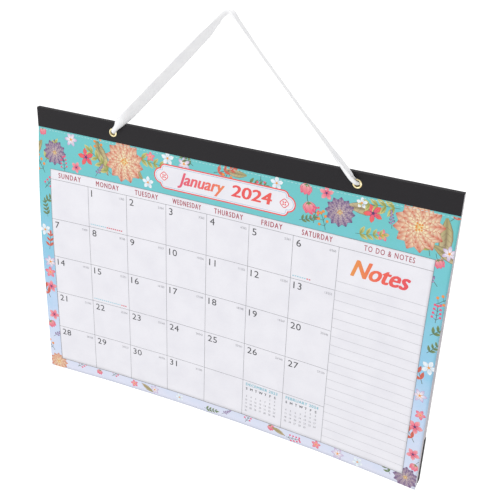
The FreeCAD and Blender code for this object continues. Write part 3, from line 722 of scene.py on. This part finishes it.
for spot, way in (((HALF_SHEET, 0, 0), (1, 0, 0)), ((-HALF_SHEET, 0, 0), (-1, 0, 0)),
                  ((0, 0, STRIP_FOOT + 1.4 * mm), (0, 0, 1)), ((0, 0, SHEET_FOOT), (0, 0, -1))):
    everything = trimmed.verts[:] + trimmed.edges[:] + trimmed.faces[:]
    bmesh.ops.bisect_plane(trimmed, geom=everything, plane_co=spot, plane_no=way, clear_outer=True)
face_front(trimmed)
trimmed.to_mesh(mesh)
trimmed.free()
lay_on_sheet(mesh, 0.04 * mm)
flowers = make_object("border_flowers", mesh)
thicken(flowers, 0.004 * mm)
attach(flowers, "root")


# Page ground: the white field that the border frames, with its header row.

GRID_SIDE = 201.6 * mm
GRID_TOP = -178 * mm
GRID_FOOT = -408.45 * mm
mesh = panel("page_ground", steps(-GRID_SIDE, GRID_SIDE, 3 * mm), steps(GRID_FOOT, GRID_TOP, 4 * mm))
lay_on_sheet(mesh, 0.2 * mm)
page_ground = make_object("page_ground", mesh, page_white)
thicken(page_ground, 0.05 * mm)
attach(page_ground, "root")


# Grid: fine grey rules round the header row, the seven day columns, the five weeks and the notes,
# and paler writing lines down the notes. One tree draws every row of like marks.

def ink(name, colour, deeper):
    """Flat offset ink with a slight unevenness."""
    material, shader = make_finish(name, 0.6, Specular_IOR_Level=0.25)
    tree = material.node_tree
    place = node(tree, "ShaderNodeTexCoord", {}).outputs["Object"]
    fleck = node(tree, "ShaderNodeTexNoise", {"Vector": place, "Scale": 700.0, "Detail": 3.0}).outputs[0]
    tree.links.new(ramp(tree, fleck, (0.35, deeper), (0.6, colour)), shader.inputs["Base Color"])
    bump(tree, shader, fleck, 0.00003, 0.3)
    return material


tree, given, keys = new_tree("rule_marks", ("Count", "NodeSocketInt"), ("Start", "NodeSocketVector"),
                             ("Step", "NodeSocketVector"), ("Size", "NodeSocketVector"),
                              ("Cuts across", "NodeSocketInt"),
                             ("Cuts down", "NodeSocketInt"), ("Material", "NodeSocketMaterial"))
spots = node(tree, "GeometryNodeMeshLine", {"Count": given["Count"], "Start Location": given["Start"],
                                            "Offset": given["Step"]}, mode="OFFSET").outputs[0]
mark = node(tree, "GeometryNodeMeshCube", {"Size": given["Size"], "Vertices X": given["Cuts across"],
                                           "Vertices Y": 2, "Vertices Z": given["Cuts down"]}).outputs[0]
close_tree(tree, node(tree, "GeometryNodeInstanceOnPoints", {"Points": spots, "Instance": mark}).outputs[0],
           given["Material"])
rule_tree, rule_keys = tree, keys


def rule_marks(name, count, start, step, size, material, lift, across=2, down=2):
    """count like marks in a row, laid on the sheet. Places and sizes are (across, up) in mm."""
    made = bake(name, bpy.data.meshes.new("empty"), rule_tree, rule_keys, **{
        "Count": count, "Start": (start[0] * mm, 0, start[1] * mm), "Step": (step[0] * mm, 0, step[1] * mm),
        "Size": (size[0] * mm, 0.03 * mm, size[1] * mm), "Cuts across": across, "Cuts down": down,
        "Material": material})
    lay_on_sheet(made, lift * mm)
    return made


def join(name, *meshes):
    whole = bmesh.new()
    for part in meshes:
        whole.from_mesh(part)
    mesh = bpy.data.meshes.new(name)
    whole.to_mesh(mesh)
    whole.free()
    return mesh


DAY = 316.2 / 7
WEEK = 43.93
HEADER_FOOT = -188.8
rule_grey = ink("rule_grey", srgb(158, 158, 163), srgb(142, 142, 148))
line_grey = ink("line_grey", srgb(192, 192, 198), srgb(178, 178, 184))
grid = join(
    "calendar_grid",
    rule_marks("weeks", 6, (-43.5, HEADER_FOOT), (0, -WEEK), (316.2, 0.42), rule_grey, 0.23, 90),
    rule_marks("days", 8, (-201.4, -298.6), (DAY, 0), (0.42, 219.65), rule_grey, 0.23, 2, 60),
    rule_marks("frame", 2, (0, -178.1), (0, -230.2), (403.0, 0.42), rule_grey, 0.23, 110),
    rule_marks("sides", 2, (-201.4, -293.2), (402.8, 0), (0.42, 230.4), rule_grey, 0.23, 2, 60),
    rule_marks("notes_head", 1, (158, HEADER_FOOT), (0, -1), (87, 0.42), rule_grey, 0.23, 26))
calendar_grid = make_object("calendar_grid", grid, rule_grey)
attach(calendar_grid, "root")
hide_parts("grid_print")
lines = rule_marks("notes_lines", 19, (158, HEADER_FOOT - 34), (0, -9.8), (87, 0.34), line_grey, 0.23, 26)
notes_lines = make_object("notes_lines", lines)
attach(notes_lines, "root")


# Perforation: a row of short cuts just under the strip, where a month's leaf tears off.

cut_white = ink("cut_white", srgb(210, 235, 236), srgb(170, 216, 220))
cuts = rule_marks("perforation", 119, (-212.4, -138.1), (3.6, 0), (2.1, 0.4), cut_white, 0.12)
perforation = make_object("perforation", cuts)
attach(perforation, "root")


# Lettering: only the generic words and numbers of any calendar, in a plain face. Day names, dates,
# the day's number in the year with the days left, two small months and the notes' headings.

glyphs = {}


def letters(words, lean=0.0, gap=1.0):
    """Flat letters of a plain face as a mesh, once for each string."""
    key = (words, lean, gap)
    if key not in glyphs:
        curve = bpy.data.curves.new("letters", "FONT")
        curve.body = words
        curve.space_character = gap
        curve.resolution_u = 3
        curve.shear = lean
        thing = make_object("letters", curve)
        glyphs[key] = bpy.data.meshes.new_from_object(thing.evaluated_get(bpy.context.evaluated_depsgraph_get()))
        bpy.data.objects.remove(thing)
    return glyphs[key]


def write(whole, words, x, z, height, side="left", squeeze=1.0, heavy=0.0, lean=0.0, gap=1.0, width=None):
    """Adds words to whole, with their foot at z and their start, middle or end at x, in mm. heavy thickens them."""
    source = letters(words, lean, gap)
    xs = [vertex.co.x for vertex in source.vertices]
    tall = max(vertex.co.y for vertex in letters("1" if words[0].isdigit() else "H", lean).vertices)
    scale = (height - heavy) / tall
    stretch = scale * squeeze
    if width:
        stretch = (width - 2 * heavy) / (max(xs) - min(xs))
    shift = {"left": min(xs), "middle": (min(xs) + max(xs)) / 2, "right": max(xs)}[side]
    around = ((0, 0), (1, 0.3), (-1, 0.3), (0.7, -0.7), (-0.7, -0.7), (0, 0.8)) if heavy else ((0, 0),)
    for copy, (right, up) in enumerate(around):
        marks = [whole.verts.new(((x + (vertex.co.x - shift) * stretch + right * heavy) * mm, -0.003 * mm * copy,
                                  (z + vertex.co.y * scale + up * heavy / 2) * mm)) for vertex in source.vertices]
        for face in source.polygons:
            whole.faces.new([marks[index] for index in face.vertices])


def print_words(name, entries, material, lift=0.26):
    """Prints (words, x, z, height, settings) entries in one ink on the sheet."""
    whole = bmesh.new()
    for words, x, z, height, settings in entries:
        write(whole, words, x, z, height, **settings)
    face_front(whole)
    mesh = bpy.data.meshes.new(name)
    whole.to_mesh(mesh)
    whole.free()
    lay_on_sheet(mesh, lift * mm)
    thing = make_object(name, mesh, material)
    thicken(thing, 0.002 * mm)
    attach(thing, "root")
    return thing


def day_place(date, first=1):
    """The left edge and head of a date's square, in mm."""
    square = date - 1 + first
    return -201.4 + square % 7 * DAY, HEADER_FOOT - square // 7 * WEEK


dates, counts = [], []
for date in range(1, 32):
    left, head = day_place(date)
    dates.append((str(date), left + 3.6, head - 9.9, 7.0, {"squeeze": 1.08, "gap": 1.06}))
    counts.append((f"{date}/{366 - date}", left + DAY - 2.6, head - 6.2, 2.3, {"side": "right", "squeeze": 0.85}))
print_words("dates", dates, ink("date_grey", srgb(74, 74, 77), srgb(58, 58, 62)))
count_grey = ink("count_grey", srgb(158, 158, 164), srgb(142, 142, 148))
print_words("day_counts", counts, count_grey)

names = ["SUNDAY", "MONDAY", "TUESDAY", "WEDNESDAY", "THURSDAY", "FRIDAY", "SATURDAY"]
widths = [27, 27, 26.5, 31.5, 30.5, 21.5, 30]
heading = [(word, -201.4 + (index + 0.5) * DAY + 0.6, -186.0, 5.4,
            {"side": "middle", "heavy": 0.13, "gap": 1.25, "width": width})
           for index, (word, width) in enumerate(zip(names, widths))]
heading.append(("TO DO & NOTES", 161, -186.0, 5.2, {"side": "middle", "width": 46.5, "gap": 1.25, "heavy": 0.06}))
print_words("day_names", heading, ink("day_rose", srgb(182, 84, 96), srgb(164, 70, 84)))

small_names, small_titles, small_dates = [], [], []
for column, title, first, last in ((5, "DECEMBER 2023", 5, 31), (6, "FEBRUARY 2024", 4, 29)):
    left = -201.4 + column * DAY
    head = HEADER_FOOT - 4 * WEEK
    title_style = {"side": "middle", "width": 36, "heavy": 0.12, "gap": 1.15}
    small_titles.append((title, left + DAY / 2 - 1, head - 5.6, 3.2, title_style))
    for index, letter in enumerate("SMTWTFS"):
        small_names.append((letter, left + 4.6 + index * 5.4, head - 10.9, 2.9, {"side": "middle", "heavy": 0.12}))
    for date in range(1, last + 1):
        square = date - 1 + first
        small_dates.append((str(date), left + 4.6 + square % 7 * 5.4, head - 15.4 - square // 7 * 4.6, 2.1,
                            {"side": "middle", "squeeze": 0.9}))
print_words("small_month_titles", small_titles, ink("small_blue", srgb(134, 198, 212), srgb(116, 184, 202)))
print_words("small_month_days", small_names, ink("small_dark", srgb(96, 96, 100), srgb(80, 80, 84)))
print_words("small_month_dates", small_dates, ink("small_grey", srgb(140, 140, 146), srgb(124, 124, 130)))


def fading_ink(name, start, end, *stops):
    """Ink that changes colour across the sheet from start to end, in mm."""
    material, shader = make_finish(name, 0.6, Specular_IOR_Level=0.25)
    tree = material.node_tree
    place = node(tree, "ShaderNodeTexCoord", {}).outputs["Object"]
    across = node(tree, "ShaderNodeSeparateXYZ", {0: place}).outputs[0]
    fleck = node(tree, "ShaderNodeTexNoise", {"Vector": place, "Scale": 700.0, "Detail": 3.0}).outputs[0]
    part = node(tree, "ShaderNodeMapRange", {0: across, 1: start * mm, 2: end * mm, 3: 0.0, 4: 1.0}).outputs[0]
    shift = node(tree, "ShaderNodeMapRange", {0: fleck, 1: 0.3, 2: 0.7, 3: -0.04, 4: 0.04}).outputs[0]
    tree.links.new(ramp(tree, sum_of(tree, part, shift), *stops), shader.inputs["Base Color"])
    bump(tree, shader, fleck, 0.00003, 0.3)
    return material


notes_ink = fading_ink("notes_ink", 130, 186, (0.0, srgb(234, 150, 84)), (0.45, srgb(238, 104, 88)),
                       (1.0, srgb(230, 84, 98)))
print_words("notes_title", [("Notes", 155.6, -213.2, 17, {"side": "middle", "width": 56, "heavy": 0.8, "lean": 0.35})],
            notes_ink)


# Reminder marks: rows of tiny coloured ticks at the foot of three squares, too small to read.

tick_blue = ink("tick_blue", srgb(150, 208, 222), srgb(130, 196, 214))
tick_red = ink("tick_red", srgb(224, 96, 112), srgb(206, 76, 92))
for name, material, shift, tall in (("blue_ticks", tick_blue, 0, 0.9), ("red_ticks", tick_red, 1, 1.2)):
    ticks = []
    for date, blue, red in ((1, 8, 8), (6, 6, 2), (15, 14, 3)):
        left, head = day_place(date)
        begin = left + 2.6 + shift * blue * 2.4
        number = (blue, red)[shift]
        ticks.append(rule_marks("ticks", number, (begin, head - 40.6), (2.4, 0), (1.5, tall), material, 0.26))
    reminders = make_object(name, join(name, *ticks), material)
    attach(reminders, "root")


# Title plaque: a white panel with scalloped ends, printed with a coral outline, a fine blue line inside
# it and a small rosette at each end, and in it the month and year.

PLAQUE_LEVEL = -159.6
PLAQUE_MIDDLE = -4.5


def plaque_height(x, inset):
    """Half the plaque's height at x from its middle, inset from its outline, or None past its end."""
    x = abs(x)
    found = [12.8 - inset] if x <= 62 else []
    for centre, level, radius in ((62, 7.3, 5.5), (66.3, 0, 8.2)):
        if abs(x - centre) <= radius - inset:
            found.append(level + math.sqrt((radius - inset) ** 2 - (x - centre) ** 2))
    return max(found) if found else None


def plaque_layer(name, inset, lift, material):
    end = 66.3 + 8.2 - inset
    places = [end * math.sin(math.pi / 2 * (step / 110 - 1)) for step in range(221)]
    spots, faces = [], []
    for x in places:
        half = plaque_height(x, inset) or 0.01
        spots += [((x + PLAQUE_MIDDLE) * mm, 0, (PLAQUE_LEVEL - half + 2 * half * row / 6) * mm) for row in range(7)]
    for column in range(len(places) - 1):
        for row in range(6):
            corner = column * 7 + row
            faces.append((corner, corner + 7, corner + 8, corner + 1))
    mesh = make_mesh(name, spots, faces)
    lay_on_sheet(mesh, lift * mm)
    thing = make_object(name, mesh, material)
    thicken(thing, 0.02 * mm)
    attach(thing, "root")
    return thing


plaque_coral = ink("plaque_coral", srgb(240, 98, 98), srgb(230, 84, 86))
plaque_blue = ink("plaque_blue", srgb(136, 186, 216), srgb(120, 172, 206))
plaque = plaque_layer("plaque_outline", 0, 0.12, plaque_coral)
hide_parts("plaque_print")
plaque_layer("plaque_field", 1.2, 0.15, page_white)
plaque_layer("plaque_inner_line", 2.2, 0.18, plaque_blue)
plaque_layer("plaque_middle", 2.55, 0.21, page_white)

rosettes = Drawing()
rose_line = srgb(238, 92, 98)
for side in (-1, 1):
    x, z = PLAQUE_MIDDLE + side * 63.2, PLAQUE_LEVEL
    for reach, shade in ((4.2, rose_line), (3.4, srgb(246, 244, 248))):
        rim = [(x + (reach + 0.35 * math.cos(4 * turn)) * math.sin(turn),
                z + (reach + 0.35 * math.cos(4 * turn)) * math.cos(turn))
               for turn in [math.pi * step / 24 for step in range(49)]]
        rosettes.grid([[(x, z)] * 49, rim], [[shade] * 49] * 2)
    for turn in (45, 135, 225, 315):
        rosettes.petal(x, z, turn, 2.6, 1.7, rose_line, rose_line, 1.3, 0.7, start=0.5)
mesh = rosettes.finish("plaque_rosettes")
for vertex in mesh.vertices:
    vertex.co.y *= 3
lay_on_sheet(mesh, 0.24 * mm)
rosette_piece = make_object("plaque_rosettes", mesh, flower_ink)
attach(rosette_piece, "root")
title_ink = fading_ink("title_ink", -53, 47, (0.0, srgb(226, 98, 124)), (0.3, srgb(236, 110, 108)),
                       (0.5, srgb(238, 140, 92)), (0.56, srgb(234, 92, 94)), (1.0, srgb(236, 98, 92)))
print_words("month_title", [("January", -52.4, -164.2, 12.4, {"width": 51, "heavy": 0.55, "lean": 0.35}),
                            ("2024", 5.0, -164.2, 11.8, {"width": 42, "heavy": 0.6, "lean": 0.12})], title_ink, 0.26)


# Binding strip: black grained card folded over the pad's head and glued down front and back.

def grained(name, colour, worn, roughness, grain=1400.0):
    """Leather-cloth with a fine pebble, slightly paler on its pebbles and in random patches, as where it is rubbed."""
    material, shader = make_finish(name, roughness, Specular_IOR_Level=0.22)
    tree = material.node_tree
    place = node(tree, "ShaderNodeTexCoord", {}).outputs["Object"]
    pebble = node(tree, "ShaderNodeTexVoronoi", {"Vector": place, "Scale": grain}, feature="SMOOTH_F1").outputs[0]
    rub = node(tree, "ShaderNodeTexNoise", {"Vector": place, "Scale": 35.0, "Detail": 5.0}).outputs[0]
    tone = sum_of(tree, sum_of(tree, pebble, 0.35, "MULTIPLY"), sum_of(tree, rub, 0.65, "MULTIPLY"))
    tree.links.new(ramp(tree, tone, (0.3, colour), (0.7, worn)), shader.inputs["Base Color"])
    gloss = node(tree, "ShaderNodeMapRange", {0: rub, 1: 0.3, 2: 0.7, 3: roughness - 0.06, 4: roughness + 0.08})
    tree.links.new(gloss.outputs[0], shader.inputs["Roughness"])
    bump(tree, shader, pebble, 0.00005, 0.6)
    return material


def dress(name, material):
    thing = frame["nodes"][name]
    if not thing.data.materials:
        thing.data.materials.append(material)
    for slot in thing.material_slots:
        slot.material = material


dress("binding_strip", grained("strip_card", srgb(27, 25, 28), srgb(36, 34, 37), 0.6))


# Eyelets: pressed brass, one in each side of the strip, with a rolled rim in front and a flattened one behind.

brass, shader = make_finish("brass", 0.24, Metallic=1.0)
tree = brass.node_tree
place = node(tree, "ShaderNodeTexCoord", {}).outputs["Object"]
tarnish = node(tree, "ShaderNodeTexNoise", {"Vector": place, "Scale": 420.0, "Detail": 4.0}).outputs[0]
scratch = node(tree, "ShaderNodeTexNoise", {"Vector": place, "Scale": 2600.0, "Detail": 2.0}).outputs[0]
tree.links.new(ramp(tree, tarnish, (0.3, srgb(214, 190, 130)), (0.6, srgb(244, 234, 192))), shader.inputs["Base Color"])
dull = node(tree, "ShaderNodeMapRange", {0: tarnish, 1: 0.3, 2: 0.7, 3: 0.34, 4: 0.16}).outputs[0]
tree.links.new(dull, shader.inputs["Roughness"])
bump(tree, shader, scratch, 0.00002, 0.4)
EYELET_PROFILE = [
    (2.8, 8.5), (2.8, 6.0), (2.8, 3.9), (2.84, 3.5), (2.96, 3.26), (3.13, 3.14), (3.35, 3.1), (3.6, 3.12), (3.87, 3.2),
    (4.12, 3.34), (4.3, 3.52), (4.35, 3.7), (3.15, 3.7), (3.15, 8.3), (4.35, 8.3), (4.4, 8.5), (4.25, 8.75),
    (3.8, 8.93),
    (3.35, 9.0), (3.0, 8.9),
]
for side, middle in (("left", -125), ("right", 125)):
    turns = 56
    spots, faces = [], []
    for step in range(turns):
        angle = 2 * math.pi * step / turns
        spots += [((middle + radius * math.sin(angle)) * mm, depth * mm, (-126.5 + radius * math.cos(angle)) * mm)
                  for radius, depth in EYELET_PROFILE]
    count = len(EYELET_PROFILE)
    for step in range(turns):
        after = (step + 1) % turns
        for place in range(count):
            faces.append((step * count + place, step * count + (place + 1) % count,
                          after * count + (place + 1) % count, after * count + place))
    mesh = make_mesh(f"eyelet_brass_{side}", spots, faces)
    turned = bmesh.new()
    turned.from_mesh(mesh)
    bmesh.ops.recalc_face_normals(turned, faces=turned.faces)
    turned.to_mesh(mesh)
    turned.free()
    mesh.polygons.foreach_set("use_smooth", [True] * len(mesh.polygons))
    eyelet = make_object(f"eyelet_brass_{side}", mesh, brass)
    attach(eyelet, "root")
    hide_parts(f"eyelet_{side}")


# Corner pockets: black grained card folded round the pad's two lower corners.

corner_card = grained("corner_card", srgb(24, 20, 17), srgb(40, 35, 30), 0.46)
dress("corner_left", corner_card)
dress("corner_right", corner_card)


# Page block: the eleven other leaves and their covers, whose edges show as fine lines. The darker lines are painted
# shade: the grey-lilac that shade gives the block's side, laid in between the leaves.

leaves, shader = make_finish("leaf_edges_painted_shade", 0.8, Specular_IOR_Level=0.2)
tree = leaves.node_tree
place = node(tree, "ShaderNodeTexCoord", {}).outputs["Object"]
layered = node(tree, "ShaderNodeMapping", {0: place, "Scale": (12, 5200, 12)}).outputs[0]
edges = node(tree, "ShaderNodeTexNoise", {"Vector": layered, "Scale": 1.0, "Detail": 2.0}).outputs[0]
fibres = node(tree, "ShaderNodeTexNoise", {"Vector": place, "Scale": 1300.0, "Detail": 3.0}).outputs[0]
tone = sum_of(tree, sum_of(tree, edges, 0.75, "MULTIPLY"), sum_of(tree, fibres, 0.25, "MULTIPLY"))
# The darker stop is painted shade, the shaded tone of the block's side; the paler stop is the leaves' own white.
tree.links.new(ramp(tree, tone, (0.35, srgb(206, 200, 207)), (0.6, srgb(238, 236, 241))), shader.inputs["Base Color"])
bump(tree, shader, edges, 0.00008, 0.6)
dress("page_block", leaves)

# The top few leaves part a little from the block where the front sheet curls
LEAF_START = 0.36 * mm
LEAF_THICK = 0.12 * mm
for index, share in enumerate((0.8, 0.55, 0.3)):
    mesh = panel(f"leaf_{index}", steps(-HALF_SHEET, HALF_SHEET, 12 * mm), steps(SHEET_FOOT, STRIP_FOOT, 8 * mm))
    for vertex in mesh.vertices:
        forward = SHEET_FRONT - sheet_level(vertex.co.x, vertex.co.z)
        vertex.co.y = SHEET_FRONT + LEAF_START - share * forward
    # These leaves wear the page block's material, so its painted shade lines show on them too.
    leaf = make_object(f"leaf_{index}", mesh, leaves)
    thicken(leaf, LEAF_THICK)
    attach(leaf, "root")


# Backing board: stiff greyboard, with the flecks of its recycled fibre.

greyboard, shader = make_finish("greyboard", 0.85, Specular_IOR_Level=0.2)
tree = greyboard.node_tree
place = node(tree, "ShaderNodeTexCoord", {}).outputs["Object"]
fleck = node(tree, "ShaderNodeTexNoise", {"Vector": place, "Scale": 1100.0, "Detail": 4.0}).outputs[0]
cloud = node(tree, "ShaderNodeTexNoise", {"Vector": place, "Scale": 90.0, "Detail": 5.0}).outputs[0]
tone = sum_of(tree, sum_of(tree, fleck, 0.75, "MULTIPLY"), sum_of(tree, cloud, 0.25, "MULTIPLY"))
tree.links.new(ramp(tree, tone, (0.3, srgb(162, 156, 148)), (0.5, srgb(180, 175, 167)), (0.68, srgb(192, 188, 181))),
               shader.inputs["Base Color"])
bump(tree, shader, fleck, 0.00006, 0.5)
dress("backing_board", greyboard)


# Studio: a wide white floor well below the hanging calendar, an even white surround,
# and one large soft lamp at the upper left.

def white_to_camera(tree):
    """1 for the rays that see the surface itself, in a picture, in gloss or through glass."""
    path = node(tree, "ShaderNodeLightPath", {}).outputs
    seen = sum_of(tree, path["Is Camera Ray"], path["Is Glossy Ray"], "MAXIMUM")
    return sum_of(tree, seen, path["Is Transmission Ray"], "MAXIMUM")


world = bpy.data.worlds.new("surround")
bpy.context.scene.world = world
world.use_nodes = True
tree = world.node_tree
tree.nodes.clear()
lighting = node(tree, "ShaderNodeBackground", {"Color": (1, 1, 1, 1), "Strength": 0.85}).outputs[0]
seen_white = node(tree, "ShaderNodeBackground", {"Color": (1, 1, 1, 1), "Strength": 1.0}).outputs[0]
both = node(tree, "ShaderNodeMixShader", {0: white_to_camera(tree), 1: lighting, 2: seen_white}).outputs[0]
node(tree, "ShaderNodeOutputWorld", {0: both})

floor_white, shader = make_finish("floor_white", 0.9, Specular_IOR_Level=0.0, Base_Color=(0.86, 0.86, 0.86, 1))
tree = floor_white.node_tree
strength = sum_of(tree, white_to_camera(tree), 0.5, "MULTIPLY")
glow = node(tree, "ShaderNodeEmission", {"Color": (1, 1, 1, 1), "Strength": strength})
added = node(tree, "ShaderNodeAddShader", {0: shader.outputs[0], 1: glow.outputs[0]}).outputs[0]
tree.links.new(added, tree.nodes["Material Output"].inputs[0])
floor = make_object("floor", make_mesh("floor", [(-20, -20, -1.1), (20, -20, -1.1), (20, 20, -1.1), (-20, 20, -1.1)],
                                       [(0, 1, 2, 3)]), floor_white)

lamp_data = bpy.data.lights.new("soft_lamp", "AREA")
lamp_data.shape = "SQUARE"
lamp_data.size = 1.6
lamp_data.energy = 23
lamp = bpy.data.objects.new("soft_lamp", lamp_data)
collection.objects.link(lamp)
lamp.location = (-1.3, -2.1, 1.3)
lamp.rotation_euler = (Vector((0, 0, -0.25)) - lamp.location).to_track_quat("-Z", "Y").to_euler()

bpy.context.scene.view_settings.view_transform = "Standard"
